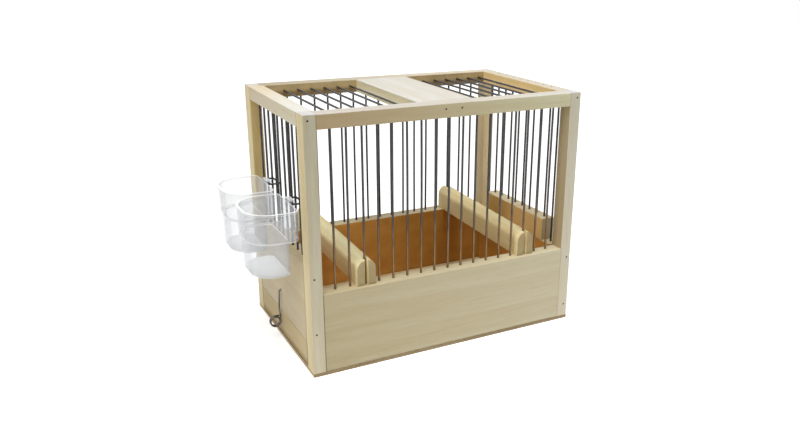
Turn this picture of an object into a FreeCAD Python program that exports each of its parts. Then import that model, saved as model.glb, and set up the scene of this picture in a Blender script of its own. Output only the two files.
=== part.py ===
import FreeCAD, Part
import math
import os
import re
import Sketcher

# Songbird cage: a nailed wooden frame with wire bars, a guillotine door, two perches, a pull-out tray
# with a spring-wire catch, and two clear cups hung outside the left wall.
# Frame: origin on the underside at the centre of the footprint, +X to the door, +Y to the rear, +Z up, mm.

Vector = FreeCAD.Vector

SIZES = [
    # alias, value in mm (or a count), meaning
    ("cage_length", 240, "outside length, left wall to right wall"),
    ("cage_depth", 150, "outside depth, front to rear"),
    ("cage_height", 205, "overall height with the floor sheet"),
    ("floor_thickness", 3, "hardboard floor sheet"),
    ("post_width", 10, "corner post along X"),
    ("post_depth", 14, "corner post and front and rear top rails along Y"),
    ("rail_height", 11, "top rails and roof board"),
    ("board_thickness", 12.5, "panels, side rails, door rail and tray front"),
    ("panel_height", 65, "board width of the front and side panels"),
    ("rear_panel_rise", 3.5, "rear panel above the front panel"),
    ("tray_opening", 22, "height of the tray slot under the left panel"),
    ("edge_ease", 0.4, "bevel along the long edges of every stick"),
    ("roof_board_width", 48, "roof centre board along X"),
    ("wire_diameter", 1.8, "bars and roof rods"),
    ("bar_seat", 6, "depth of a bar in the wood"),
    ("rod_seat", 5, "depth of a roof rod in the front and rear rails"),
    ("front_bar_count", 17, "bars in the front wall, and in the rear wall"),
    ("side_bar_count", 10, "bars in the left wall, and in the door with its guides"),
    ("side_bar_edge", 7, "post to the nearest side bar"),
    ("roof_rod_count", 7, "roof rods on each side of the board"),
    ("roof_rod_edge", 6, "board edge to the nearest roof rod"),
    ("roof_rod_side", 5.5, "side rail to the nearest roof rod"),
    ("door_rail_height", 20, "wooden rail at the foot of the door"),
    ("door_rail_end", 6, "door rail beyond its outer bars"),
    ("door_bar_clearance", 0.3, "round a door bar in its hole in the right top rail"),
    ("door_bar_drop", 2, "tops of the door bars below the roof"),
    ("perch_width", 15.5, "perch along X"),
    ("perch_height", 21, "perch with its round top"),
    ("perch_overhang", 4, "perch end beyond the line of the bars"),
    ("perch_bar", 3, "bar that a perch straddles, counted from its side wall"),
    ("perch_clearance", 0.3, "perch slot round its bar"),
    ("nail_diameter", 1.6, "frame nails"),
    ("nail_length", 24, "frame nails"),
    ("nail_side_inset", 3.6, "nails in the posts, from the outside of the cage"),
    ("nail_rail_drop", 4.2, "nails in the top rails, below the roof"),
    ("nail_board_offset", 7, "roof board nails, from the middle of the front"),
    ("nail_panel_low", 11, "lower nail of a side panel above its lower edge"),
    ("nail_panel_high", 56.5, "upper nail of a side panel above its lower edge"),
    ("tray_clearance", 0.6, "tray to the posts and right panel"),
    ("tray_top_gap", 0.3, "tray front to the left panel"),
    ("tray_front_gap", 1, "tray front above the floor sheet"),
    ("tray_sheet", 3, "hardboard tray bottom"),
    ("tray_rebate", 6, "tray bottom let into the tray front"),
    ("tray_wall", 6, "thickness of the tray sides and back"),
    ("tray_wall_height", 8, "tray sides and back above the tray bottom"),
    ("catch_wire", 1.4, "spring wire of the catch"),
    ("catch_offset", 3, "catch arm behind the middle of the wall"),
    ("catch_standoff", 1.6, "catch arm, wire centre, off the wall"),
    ("catch_tip_height", 44, "tip of the catch above the ground"),
    ("catch_tip_depth", 2.5, "tip of the catch in the left panel"),
    ("catch_leg_depth", 3, "leg of the catch in the tray front"),
    ("catch_bend", 2, "bend radius at the tip of the catch"),
    ("coil_height", 15, "middle of the catch coil above the ground"),
    ("coil_radius", 4.1, "catch coil, to the wire centre"),
    ("coil_spacing", 2.1, "catch coil, from turn to turn"),
    ("coil_quarter_count", 7, "quarter turns of the catch coil"),
    ("catch_clearance", 0.6, "round the tip and leg of the catch in their holes"),
    ("cup_bar", 2, "bar before the first cup's middle, counted from the front"),
    ("cup_bar_count", 5, "bars from the first cup to the second"),
    ("cup_spacing", 5, "gap between the rims of the two cups"),
    ("cup_depth", 38.5, "cup rim along X"),
    ("cup_height", 51, "cup, bottom to rim"),
    ("cup_base_height", 81, "cup bottom above the ground"),
    ("cup_gap", 1, "cup back to the outside of the posts"),
    ("cup_wall", 1.2, "moulded wall"),
    ("cup_rim", 1.5, "rim flange, outward and down"),
    ("cup_step", 1.5, "step at the front and sides between the upper and lower cup"),
    ("cup_back_step", 6.5, "step at the back between the upper and lower cup"),
    ("cup_step_height", 27, "step above the cup bottom"),
    ("cup_draft", 0.2, "draw-in of the upper and of the lower cup"),
    ("cup_front_corner", 21, "outer corner radius of the rim"),
    ("cup_back_corner", 5, "corner radius of the rim next to the cage"),
    ("cup_base_corner", 6, "corner radius of the lower cup next to the cage"),
    ("cup_base_round", 1.5, "rounded edge of the cup bottom, inside"),
    ("hook_width", 12, "hook on the cup back along Y"),
    ("hook_rise", 2.6, "top of the hook above the rim"),
    ("hook_thickness", 1.2, "hook wall"),
    ("hook_drop", 4, "free leg of the hook, down from its top"),
    ("hook_clearance", 0.3, "hook round the hanger wire"),
    ("hanger_wire", 1.6, "hanger wire"),
    ("hanger_side_gap", 1, "hanger leg to the bar beside it"),
    ("hanger_bend", 2, "hanger bend radius, to the wire centre"),
    ("hanger_wrap", 4, "hanger end past the bar that it grips"),
]

doc = FreeCAD.newDocument("songbird_cage")
sheet = doc.addObject("Spreadsheet::Sheet", "Sizes")
for row, (alias, size, meaning) in enumerate(SIZES, start=1):
    sheet.set("A%d" % row, meaning)
    sheet.set("B%d" % row, str(size))
    sheet.setAlias("B%d" % row, alias)
doc.recompute()

ALIASES = {alias for alias, _, _ in SIZES}
nodes = []

# Levels and lines that several pieces share, as formulas of the sheet
LEFT = "(-cage_length/2)"
RIGHT = "(cage_length/2)"
FRONT = "(-cage_depth/2)"
REAR = "(cage_depth/2)"
SPAN_X = "(cage_length - 2*post_width)"
SPAN_Y = "(cage_depth - 2*post_depth)"
RAIL_BASE = "(cage_height - rail_height)"
LOW_TOP = "(floor_thickness + panel_height)"
REAR_TOP = "(floor_thickness + panel_height + rear_panel_rise)"
HIGH_BASE = "(floor_thickness + tray_opening)"
HIGH_TOP = "(floor_thickness + tray_opening + panel_height)"
DOOR_TOP = "(floor_thickness + panel_height + door_rail_height)"
LEFT_BARS_X = "(-cage_length/2 + board_thickness/2)"
RIGHT_BARS_X = "(cage_length/2 - board_thickness/2)"
FRONT_BARS_Y = "(-cage_depth/2 + post_depth/2)"
REAR_BARS_Y = "(cage_depth/2 - post_depth/2)"
TRAY_WIDTH = "(cage_depth - 2*post_depth - 2*tray_clearance)"
TRAY_END = "(cage_length/2 - board_thickness - tray_clearance)"
TRAY_SHEET_TOP = "(floor_thickness + tray_sheet)"
CATCH_LEG_Y = "(catch_offset + coil_spacing*coil_quarter_count/4)"
CATCH_LEG_Z = "(coil_height + coil_radius)"
SIDE_PITCH = "((%s - 2*side_bar_edge)/(side_bar_count - 1))" % SPAN_Y
ROOF_SPAN = "(cage_length/2 - board_thickness - roof_board_width/2)"
ROOF_PITCH = "((%s - roof_rod_edge - roof_rod_side)/(roof_rod_count - 1))" % ROOF_SPAN
CUP_WIDTH = "(cup_bar_count*%s - cup_spacing)" % SIDE_PITCH


def formula(text):
    """An expression for setExpression: each alias in the text becomes a cell of the sheet."""
    return re.sub(r"[a-z_]+", lambda word: "Sizes." + word[0] if word[0] in ALIASES else word[0], text)


def number(text):
    """The value that a formula has now."""
    return float(sheet.evalExpression(formula(text)))


def bind(item, **properties):
    for prop, text in properties.items():
        item.setExpression(prop, formula(text))


def place(item, x, y, z):
    for axis, text in zip("xyz", (x, y, z)):
        item.setExpression("Placement.Base." + axis, formula(text))


def node(item, label):
    """Names a finished sub-part and keeps it for the export."""
    item.Label = label
    nodes.append(item)
    return item


def group(name, members):
    item = doc.addObject("Part::Compound", name)
    item.Links = list(members)
    return item


def box(name, size, corner):
    item = doc.addObject("Part::Box", name)
    bind(item, Length=size[0], Width=size[1], Height=size[2])
    place(item, *corner)
    return item


def rod(name, diameter, length, start, axis="z"):
    """A round wire from its start point along +Z, +Y or +X."""
    turns = {"x": (Vector(0, 1, 0), 90), "y": (Vector(1, 0, 0), -90), "z": (Vector(0, 0, 1), 0)}
    item = doc.addObject("Part::Cylinder", name)
    item.Placement = FreeCAD.Placement(Vector(), FreeCAD.Rotation(*turns[axis]))
    bind(item, Radius=diameter + "/2", Height=length)
    place(item, *start)
    return item


def stick(label, size, corner, along, cutters=()):
    """A planed stick: its long edges are eased, and what is driven into it cuts its holes."""
    blank = box(label + "_blank", size, corner)
    doc.recompute()
    ease = number("edge_ease")
    eased = doc.addObject("Part::Chamfer", label + "_eased")
    eased.Base = blank
    eased.Edges = [(i, ease, ease) for i, edge in enumerate(blank.Shape.Edges, start=1)
                   if abs(edge.tangentAt(edge.FirstParameter)["xyz".index(along)]) > 0.99]
    if not cutters:
        return node(eased, label)
    drilled = doc.addObject("Part::Cut", label + "_drilled")
    drilled.Base = eased
    drilled.Tool = group(label + "_holes", cutters)
    return node(drilled, label)


def side_bar_y(index):
    """Line of a side bar, counted from 1 at the front."""
    return "(%s*(%d - (side_bar_count + 1)/2))" % (SIDE_PITCH, index)


def front_bar_x(index):
    """Line of a front or rear bar, counted from 1 at the left."""
    return "(-%s/2 + %s*%d/(front_bar_count + 1))" % (SPAN_X, SPAN_X, index)


def wall_bars(label, y, panel_top):
    """The bars of the front or rear wall, from the low panel into the top rail."""
    length = RAIL_BASE + " - " + panel_top + " + 2*bar_seat"
    return node(group(label, [
        rod("%s_%d" % (label, i), "wire_diameter", length, (front_bar_x(i), y, panel_top + " - bar_seat"))
        for i in range(1, int(number("front_bar_count")) + 1)]), label)


def side_bars(label, x, indices, foot, top):
    length = "%s - %s" % (top, foot)
    return group(label, [
        rod("%s_%d" % (label, i), "wire_diameter", length, (x, side_bar_y(i), foot)) for i in indices])


def roof_rods(label, side):
    """Roof rods on one side of the board; side is -1 at the left and 1 at the right."""
    length = SPAN_Y + " + 2*rod_seat"
    end_y = "-%s/2 - rod_seat" % SPAN_Y
    z = "cage_height - rail_height/2"
    rods = []
    for i in range(int(number("roof_rod_count"))):
        x = "%d*(roof_board_width/2 + roof_rod_edge + %s*%d)" % (side, ROOF_PITCH, i)
        rods.append(rod("%s_%d" % (label, i), "wire_diameter", length, (x, end_y, z), "y"))
    return node(group(label, rods), label)


def nails():
    """Nails driven along Y through the posts into the side pieces, and through the rails into the board."""
    rail_z = "cage_height - nail_rail_drop"
    places = [("-nail_board_offset", rail_z), ("nail_board_offset", rail_z)]
    for side, base in (("-1", HIGH_BASE), ("1", "floor_thickness")):
        x = side + "*(cage_length/2 - nail_side_inset)"
        places += [(x, rail_z), (x, base + " + nail_panel_low"), (x, base + " + nail_panel_high")]
    members = []
    for end, y in (("front", FRONT), ("rear", REAR + " - nail_length")):
        for i, (x, z) in enumerate(places):
            members.append(rod("%s_nail_%d" % (end, i), "nail_diameter", "nail_length", (x, y, z), "y"))
    return node(group("frame_nails", members), "frame_nails")


def plane_sketch(body, name, role, offset="0"):
    """A sketch on an origin plane of its body, lifted by an offset along the plane's normal."""
    sketch = body.newObject("Sketcher::SketchObject", name)
    plane = next(item for item in body.Origin.OriginFeatures if item.Role == role)
    sketch.AttachmentSupport = [(plane, "")]
    sketch.MapMode = "FlatFace"
    sketch.setExpression("AttachmentOffset.Base.z", formula(offset))
    return sketch


def dimension(sketch, text, kind, *where):
    """A dimension of a sketch, held to a formula of the sheet."""
    index = sketch.addConstraint(Sketcher.Constraint(kind, *where, number(text)))
    sketch.setExpression("Constraints[%d]" % index, formula(text))


def polyline(sketch, corners):
    """A closed outline of straight lines; each corner is a pair of formulas measured from the origin."""
    points = [Vector(number(x), number(y), 0) for x, y in corners]
    first = sketch.GeometryCount
    count = len(points)
    for i in range(count):
        sketch.addGeometry(Part.LineSegment(points[i], points[(i + 1) % count]))
    for i in range(count):
        sketch.addConstraint(Sketcher.Constraint("Coincident", first + i, 2, first + (i + 1) % count, 1))
    for i, (x, y) in enumerate(corners):
        for kind, text in (("DistanceX", x), ("DistanceY", y)):
            dimension(sketch, text, kind, -1, 1, first + i, 1)


def pad_midplane(body, name, sketch, length):
    feature = body.newObject("PartDesign::Pad", name)
    feature.Profile = sketch
    feature.Midplane = True
    bind(feature, Length=length)
    return feature


def perch(label, side):
    """An arched stick that rises from the front panel to the rear panel; each end has a slot round a bar."""
    body = doc.addObject("PartDesign::Body", label)
    arch = plane_sketch(body, label + "_arch", "XZ_Plane")
    half = number("perch_width/2")
    spring = number("perch_height - perch_width/2")
    arch.addGeometry(Part.LineSegment(Vector(-half, 0, 0), Vector(half, 0, 0)))
    arch.addGeometry(Part.LineSegment(Vector(half, 0, 0), Vector(half, spring, 0)))
    crown = Part.Circle(Vector(0, spring, 0), Vector(0, 0, 1), half)
    arch.addGeometry(Part.ArcOfCircle(crown, 0, math.pi))
    arch.addGeometry(Part.LineSegment(Vector(-half, spring, 0), Vector(-half, 0, 0)))
    for joint in (("Coincident", 0, 2, 1, 1), ("Tangent", 1, 2, 2, 1), ("Tangent", 2, 2, 3, 1),
                  ("Coincident", 3, 2, 0, 1), ("Horizontal", 0), ("Vertical", 1),
                  ("PointOnObject", 0, 1, -1), ("PointOnObject", 2, 3, -2)):
        arch.addConstraint(Sketcher.Constraint(*joint))
    dimension(arch, "perch_width/2", "Radius", 2)
    dimension(arch, "perch_height - perch_width/2", "DistanceY", -1, 1, 2, 3)
    length = "(cage_depth - post_depth + 2*perch_overhang)"
    pad_midplane(body, label + "_length", arch, length)

    slots = plane_sketch(body, label + "_slots", "XY_Plane")
    slope = "(rear_panel_rise/(cage_depth/2 - board_thickness + %s/2))" % length
    half_slot = "(wire_diameter/2 + perch_clearance)"
    depth = "(perch_overhang + wire_diameter/2 + perch_clearance + perch_height*%s)" % slope
    for end in ("-1", "1"):
        tip = "%s*%s/2" % (end, length)
        root = "%s*(%s/2 - %s)" % (end, length, depth)
        polyline(slots, [("-" + half_slot, root), (half_slot, root),
                         (half_slot, tip), ("-" + half_slot, tip)])
    cut = body.newObject("PartDesign::Pocket", label + "_slot_cut")
    cut.Profile = slots
    cut.Type = "ThroughAll"
    cut.Midplane = True
    body.Placement = FreeCAD.Placement(Vector(), FreeCAD.Rotation(Vector(1, 0, 0), 1))
    body.setExpression("Placement.Rotation.Angle", formula("atan(%s)" % slope))
    place(body, "%d*(%s/2 - %s*perch_bar/(front_bar_count + 1))" % (side, SPAN_X, SPAN_X), "0",
          "%s + %s*%s/2" % (LOW_TOP, slope, length))
    return node(body, label)


def cup_outline(body, name, height, inset, back, back_r):
    """A cup section: the rim outline drawn in by inset at the front and sides, and by back at the back."""
    sketch = plane_sketch(body, name, "XY_Plane", height)
    front_x = "-(cup_depth - (%s))" % inset
    back_x = "-(%s)" % back
    half = "(%s/2 - (%s))" % (CUP_WIDTH, inset)
    front_r = "(cup_front_corner - (%s))" % inset
    x0, x1, y1 = number(front_x), number(back_x), number(half)
    rf, rb = number(front_r), number(back_r)
    corners = [(x0, -y1, rf, math.pi), (x1, -y1, rb, 1.5*math.pi),
               (x1, y1, rb, 0), (x0, y1, rf, 0.5*math.pi)]
    arcs = []
    for x, y, r, start in corners:
        centre = Vector(x + (r if x == x0 else -r), y + (r if y < 0 else -r), 0)
        arcs.append(Part.ArcOfCircle(Part.Circle(centre, Vector(0, 0, 1), r), start, start + 0.5*math.pi))
    for i in range(4):
        sketch.addGeometry(arcs[i])
        sketch.addGeometry(Part.LineSegment(arcs[i].EndPoint, arcs[(i + 1) % 4].StartPoint))
    for i in range(8):
        sketch.addConstraint(Sketcher.Constraint("Tangent", i, 2, (i + 1) % 8, 1))
    for joint in (("Horizontal", 1), ("Vertical", 3), ("Horizontal", 5), ("Vertical", 7),
                  ("Equal", 0, 6), ("Equal", 2, 4)):
        sketch.addConstraint(Sketcher.Constraint(*joint))
    dimension(sketch, front_r, "Radius", 0)
    dimension(sketch, back_r, "Radius", 2)
    dimension(sketch, back_x, "DistanceX", -1, 1, 3, 1)
    dimension(sketch, front_x, "DistanceX", -1, 1, 7, 1)
    dimension(sketch, half, "DistanceY", -1, 1, 5, 1)
    dimension(sketch, "-" + half, "DistanceY", -1, 1, 1, 1)
    return sketch


def cup_loft(body, name, kind, low, high):
    """A ruled loft between two cup sections, each given as height, inset, back and back corner radius."""
    feature = body.newObject("PartDesign::" + kind, name)
    feature.Profile = cup_outline(body, name + "_low", *low)
    feature.Sections = [cup_outline(body, name + "_high", *high)]
    feature.Ruled = True
    doc.recompute()
    return feature


def round_bottom(body, name, height, radius):
    """Rounds the flat bottom that lies at a height, outside or inside the cup."""
    base = body.Tip
    level = number(height)
    edges = ["Edge%d" % i for i, edge in enumerate(base.Shape.Edges, start=1)
             if max(abs(vertex.Z - level) for vertex in edge.Vertexes) < 1e-4]
    fillet = body.newObject("PartDesign::Fillet", name)
    fillet.Base = (base, edges)
    bind(fillet, Radius=radius)
    doc.recompute()


def cup(label, bar):
    """A clear moulded cup with a stepped body, a rim flange and a hook on its flat back."""
    body = doc.addObject("PartDesign::Body", label)
    upper = "cup_rim"
    ledge = "cup_rim + cup_draft"
    lower = "cup_rim + cup_draft + cup_step"
    bottom = "cup_rim + 2*cup_draft + cup_step"
    lower_back = "cup_back_step"
    bottom_back = "cup_back_step + cup_draft"
    corner = "cup_back_corner"
    base_corner = "cup_base_corner"
    thinner = " - cup_wall"
    inner_step = "cup_step_height + cup_wall"
    wall = " + cup_wall"
    cup_loft(body, label + "_lower", "AdditiveLoft",
             ("0", bottom, bottom_back, base_corner), ("cup_step_height", lower, lower_back, base_corner))
    cup_loft(body, label + "_upper", "AdditiveLoft",
             ("cup_step_height", ledge, "0", corner), ("cup_height", upper, "0", corner))
    flange = body.newObject("PartDesign::Pad", label + "_flange")
    flange.Profile = cup_outline(body, label + "_rim", "cup_height - cup_rim", "0", "0", corner)
    bind(flange, Length="cup_rim")

    hook = plane_sketch(body, label + "_hook_profile", "XZ_Plane")
    top = "cup_height + hook_rise"
    channel = "(hanger_wire + 2*hook_clearance)"
    reach = "(%s + hook_thickness)" % channel
    polyline(hook, [("-cup_wall", "cup_height - cup_rim"), ("0", "cup_height - cup_rim"),
                    ("0", top + " - hook_thickness"), (channel, top + " - hook_thickness"),
                    (channel, top + " - hook_drop"), (reach, top + " - hook_drop"), (reach, top),
                    ("-cup_wall", top)])
    pad_midplane(body, label + "_hook", hook, "hook_width")
    doc.recompute()

    cup_loft(body, label + "_hollow", "SubtractiveLoft",
             ("cup_wall", bottom + wall, bottom_back + wall, base_corner + thinner),
             (inner_step, lower + wall, lower_back + wall, base_corner + thinner))
    round_bottom(body, label + "_hollow_round", "cup_wall", "cup_base_round")
    round_bottom(body, label + "_round", "0", "cup_base_round + cup_wall")
    cup_loft(body, label + "_mouth", "SubtractiveLoft",
             (inner_step, ledge + wall, "cup_wall", corner + thinner),
             ("cup_height", upper + wall, "cup_wall", corner + thinner))
    place(body, LEFT + " - cup_gap", "%s + %s/2" % (side_bar_y(bar), SIDE_PITCH), "cup_base_height")
    return node(body, label)


def tube(label, edges, diameter):
    """A round wire along a chain of lines and arcs, as one unbroken solid."""
    path = Part.Wire(edges)
    start = edges[0].valueAt(edges[0].FirstParameter)
    heading = edges[0].tangentAt(edges[0].FirstParameter)
    section = Part.Wire(Part.makeCircle(diameter/2, start, heading))
    shell = Part.BRepOffsetAPI.MakePipeShell(path)
    shell.add(section)
    shell.build()
    shell.makeSolid()
    item = doc.addObject("Part::Feature", label)
    item.Shape = shell.shape()
    return item


def arc_from(start, heading, end):
    """The circular arc that leaves start along heading and ends at end."""
    chord = end - start
    along = Vector(chord).normalize()
    lean = heading.dot(along)
    rise = heading - along*lean
    if rise.Length < 1e-9:
        return Part.LineSegment(start, end).toShape()
    bulge = math.tan(math.acos(min(1.0, lean))/2)*chord.Length/2
    return Part.Arc(start, start + chord*0.5 + rise.normalize()*bulge, end).toShape()


def biarc(start, heading, end, end_heading):
    """Two arcs that meet smoothly, from start along heading to end along end_heading."""
    chord = end - start
    total = heading + end_heading
    share = 2*(1 - heading.dot(end_heading))
    reach = (math.sqrt(chord.dot(total)**2 + share*chord.dot(chord)) - chord.dot(total))/share
    middle = (start + end + (heading - end_heading)*reach)*0.5
    joint_heading = (chord - total*reach).normalize()
    return [arc_from(start, heading, middle), arc_from(middle, joint_heading, end)]


def least_gap(edges, diameter):
    """The least gap of a wire to itself, on points along its path, past three diameters of path."""
    points = []
    for edge in edges:
        points += edge.discretize(Number=max(2, int(edge.Length/0.2)))
    run = [0.0]
    for a, b in zip(points, points[1:]):
        run.append(run[-1] + a.distanceToPoint(b))
    return min(points[i].distanceToPoint(points[j]) for i in range(len(points)) for j in range(i)
               if run[i] - run[j] > 3*diameter) - diameter


def catch():
    """The tray catch: a tip in the left panel, an arm down to a coil, and a leg into the tray front."""
    wall = number(LEFT)
    arm_x = wall - number("catch_standoff")
    arm_y = number("catch_offset")
    bend = number("catch_bend")
    radius = number("coil_radius")
    spacing = number("coil_spacing")
    tip_z = number("catch_tip_height")
    centre = Vector(arm_x - radius, arm_y, number("coil_height"))
    tip = Vector(wall + number("catch_tip_depth"), arm_y, tip_z)
    bend_start = Vector(arm_x + bend, arm_y, tip_z)
    bend_end = Vector(arm_x, arm_y, tip_z - bend)
    coil_start = centre + Vector(radius, 0, 0)
    edges = [Part.LineSegment(tip, bend_start).toShape(),
             arc_from(bend_start, Vector(-1, 0, 0), bend_end),
             Part.LineSegment(bend_end, coil_start).toShape()]

    quarters = int(number("coil_quarter_count"))
    slope = spacing/(2*math.pi*radius)
    stops = []
    for quarter in range(quarters + 1):
        turn = quarter*math.pi/2
        lean = 0 if quarter in (0, quarters) else slope
        heading = Vector(-math.sin(turn), lean, -math.cos(turn)).normalize()
        point = centre + Vector(radius*math.cos(turn), spacing*quarter/4, -radius*math.sin(turn))
        stops.append((point, heading))
    for (start, heading), (end, end_heading) in zip(stops, stops[1:]):
        edges += biarc(start, heading, end, end_heading)
    coil_end = stops[-1][0]
    leg_end = Vector(wall + number("catch_leg_depth"), coil_end.y, coil_end.z)
    edges.append(Part.LineSegment(coil_end, leg_end).toShape())
    print("tray_catch: least gap of the wire to itself %.2f mm" % least_gap(edges, number("catch_wire")))
    return node(tube("tray_catch", edges, number("catch_wire")), "tray_catch")


def hanger(label, bar):
    """A wire clip round two side bars; its outer run carries the hook of a cup."""
    reach = number("hanger_wire/2 + wire_diameter/2")
    bar_x = number(LEFT_BARS_X)
    side = number(SIDE_PITCH + "/2 + hanger_side_gap") + reach
    middle = number("%s + %s/2" % (side_bar_y(bar), SIDE_PITCH))
    bend = number("hanger_bend")
    front_x = number(LEFT + " - cup_gap + hook_clearance + hanger_wire/2")
    back_x = bar_x + reach
    z = number("cup_base_height + cup_height + hook_rise - hook_thickness - hook_clearance - hanger_wire/2")
    end_y = side - reach - number("hanger_side_gap") - number("hanger_wrap")
    along = Vector(1, 0, 0)
    across = Vector(0, 1, 0)
    route = [(Vector(back_x, -end_y, z), across*-1), (Vector(back_x, -side, z), along*-1),
             (Vector(front_x, -side, z), across), (Vector(front_x, side, z), along),
             (Vector(back_x, side, z), across*-1), (Vector(back_x, end_y, z), None)]
    edges = []
    start = route[0][0]
    heading = route[0][1]
    for corner, next_heading in route[1:-1]:
        bend_start = corner - heading*bend
        bend_end = corner + next_heading*bend
        edges.append(Part.LineSegment(start, bend_start).toShape())
        edges.append(arc_from(bend_start, heading, bend_end))
        start = bend_end
        heading = next_heading
    edges.append(Part.LineSegment(start, route[-1][0]).toShape())
    item = tube(label, edges, number("hanger_wire"))
    item.Placement = FreeCAD.Placement(Vector(0, middle, 0), FreeCAD.Rotation())
    return node(item, label)


def catch_holes():
    """Loose holes for the tip in the left panel and for the leg in the tray front."""
    width = "(catch_wire + 2*catch_clearance)"
    tip_place = (LEFT, "catch_offset", "catch_tip_height")
    leg_place = (LEFT, CATCH_LEG_Y, CATCH_LEG_Z)
    tip = rod("catch_tip_hole", width, "catch_tip_depth + catch_clearance", tip_place, "x")
    leg = rod("catch_leg_hole", width, "catch_leg_depth + catch_clearance", leg_place, "x")
    return tip, leg


def frame():
    """Floor, posts, panels, rails, bars and nails: everything that is fixed."""
    nail_group = nails()
    front_bars = wall_bars("front_bars", FRONT_BARS_Y, LOW_TOP)
    rear_bars = wall_bars("rear_bars", REAR_BARS_Y, REAR_TOP)
    rods_left = roof_rods("top_rods_left", -1)
    rods_right = roof_rods("top_rods_right", 1)
    last = int(number("side_bar_count"))
    rail_seat = "(%s + bar_seat)" % RAIL_BASE
    left_foot = "(%s - bar_seat)" % HIGH_TOP
    left_bars = side_bars("left_bars", LEFT_BARS_X, range(1, last + 1), left_foot, rail_seat)
    node(left_bars, "left_bars")
    guides = []
    for label, index in (("door_guide_front", 1), ("door_guide_rear", last)):
        guide = side_bars(label, RIGHT_BARS_X, [index], "(%s - bar_seat)" % LOW_TOP, rail_seat)
        guides.append(node(guide, label))
    door_holes = [rod("door_hole_%d" % i, "(wire_diameter + 2*door_bar_clearance)", "rail_height",
                      (RIGHT_BARS_X, side_bar_y(i), RAIL_BASE)) for i in range(2, last)]
    tip_hole, leg_hole = catch_holes()

    floor = ("cage_length", "cage_depth", "floor_thickness")
    node(box("floor_sheet", floor, (LEFT, FRONT, "0")), "floor_sheet")
    post = ("post_width", "post_depth", "cage_height - floor_thickness")
    for end, y in (("front", FRONT), ("rear", REAR + " - post_depth")):
        for side, x in (("left", LEFT), ("right", RIGHT + " - post_width")):
            stick("%s_%s_post" % (end, side), post, (x, y, "floor_thickness"), "z", [nail_group])
    front_panel = (SPAN_X, "board_thickness", "panel_height")
    rear_panel = (SPAN_X, "board_thickness", "panel_height + rear_panel_rise")
    rail = (SPAN_X, "post_depth", "rail_height")
    rear_panel_y = REAR + " - board_thickness"
    rear_rail_y = REAR + " - post_depth"
    for end, bars, panel, panel_y, rail_y in (("front", front_bars, front_panel, FRONT, FRONT),
                                              ("rear", rear_bars, rear_panel, rear_panel_y, rear_rail_y)):
        stick(end + "_panel", panel, ("-%s/2" % SPAN_X, panel_y, "floor_thickness"), "x", [bars])
        stick(end + "_top_rail", rail, ("-%s/2" % SPAN_X, rail_y, RAIL_BASE), "x",
              [bars, rods_left, rods_right, nail_group])
    side_panel = ("board_thickness", SPAN_Y, "panel_height")
    side_rail = ("board_thickness", SPAN_Y, "rail_height")
    side_y = "-%s/2" % SPAN_Y
    right_x = RIGHT + " - board_thickness"
    stick("left_panel", side_panel, (LEFT, side_y, HIGH_BASE), "y", [left_bars, nail_group, tip_hole])
    stick("right_panel", side_panel, (right_x, side_y, "floor_thickness"), "y", guides + [nail_group])
    stick("left_top_rail", side_rail, (LEFT, side_y, RAIL_BASE), "y", [left_bars, nail_group])
    stick("right_top_rail", side_rail, (right_x, side_y, RAIL_BASE), "y",
          guides + door_holes + [nail_group])
    roof_board = ("roof_board_width", SPAN_Y, "rail_height")
    stick("roof_board", roof_board, ("-roof_board_width/2", side_y, RAIL_BASE), "y", [nail_group])
    return leg_hole


def door():
    """The guillotine door: a rail on the right panel, with bars that rise through the right top rail."""
    last = int(number("side_bar_count"))
    bars = side_bars("door_bars", RIGHT_BARS_X, range(2, last), "(%s - bar_seat)" % DOOR_TOP,
                     "(cage_height - door_bar_drop)")
    node(bars, "door_bars")
    length = "(%s*(side_bar_count - 3) + 2*door_rail_end)" % SIDE_PITCH
    stick("door_rail", ("board_thickness", length, "door_rail_height"),
          (RIGHT + " - board_thickness", "-%s/2" % length, LOW_TOP), "y", [bars])


def tray(leg_hole):
    """The pull-out tray: a wooden front in the slot under the left panel, and a shallow hardboard tray."""
    half = "-%s/2" % TRAY_WIDTH
    front_z = "(floor_thickness + tray_front_gap)"
    inside_x = "(%s + board_thickness)" % LEFT
    length = "(%s - %s)" % (TRAY_END, inside_x)
    sheet_x = inside_x + " - tray_rebate"
    sheet_size = (length + " + tray_rebate", TRAY_WIDTH, "tray_sheet")
    bottom = box("tray_bottom", sheet_size, (sheet_x, half, "floor_thickness"))
    node(bottom, "tray_bottom")
    stick("tray_front", ("board_thickness", TRAY_WIDTH, HIGH_BASE + " - tray_top_gap - " + front_z),
          (LEFT, half, front_z), "y", [bottom, leg_hole])
    wall = (length + " - tray_wall", "tray_wall", "tray_wall_height")
    for end, y in (("front", half), ("rear", "%s/2 - tray_wall" % TRAY_WIDTH)):
        stick("tray_%s_side" % end, wall, (inside_x, y, TRAY_SHEET_TOP), "x")
    stick("tray_back", ("tray_wall", TRAY_WIDTH, "tray_wall_height"),
          (TRAY_END + " - tray_wall", half, TRAY_SHEET_TOP), "y")


def check(items):
    """Stops the build where an object of the document failed or a sub-part is not a valid solid."""
    for item in doc.Objects:
        if "Invalid" in item.State or "Error" in item.State:
            raise RuntimeError("%s failed: %s" % (item.Label, item.State))
    for item in items:
        if item.Shape.isNull() or not item.Shape.isValid() or not item.Shape.Solids:
            raise RuntimeError("%s is not a valid solid" % item.Label)


tray(frame())
door()
catch()
perch("left_perch", -1)
perch("right_perch", 1)
first_cup = int(number("cup_bar"))
second_cup = int(number("cup_bar + cup_bar_count"))
for end, bar in (("front", first_cup), ("rear", second_cup)):
    hanger(end + "_cup_hanger", bar)
    cup(end + "_cup", bar)
doc.recompute()
check(nodes)

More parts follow.
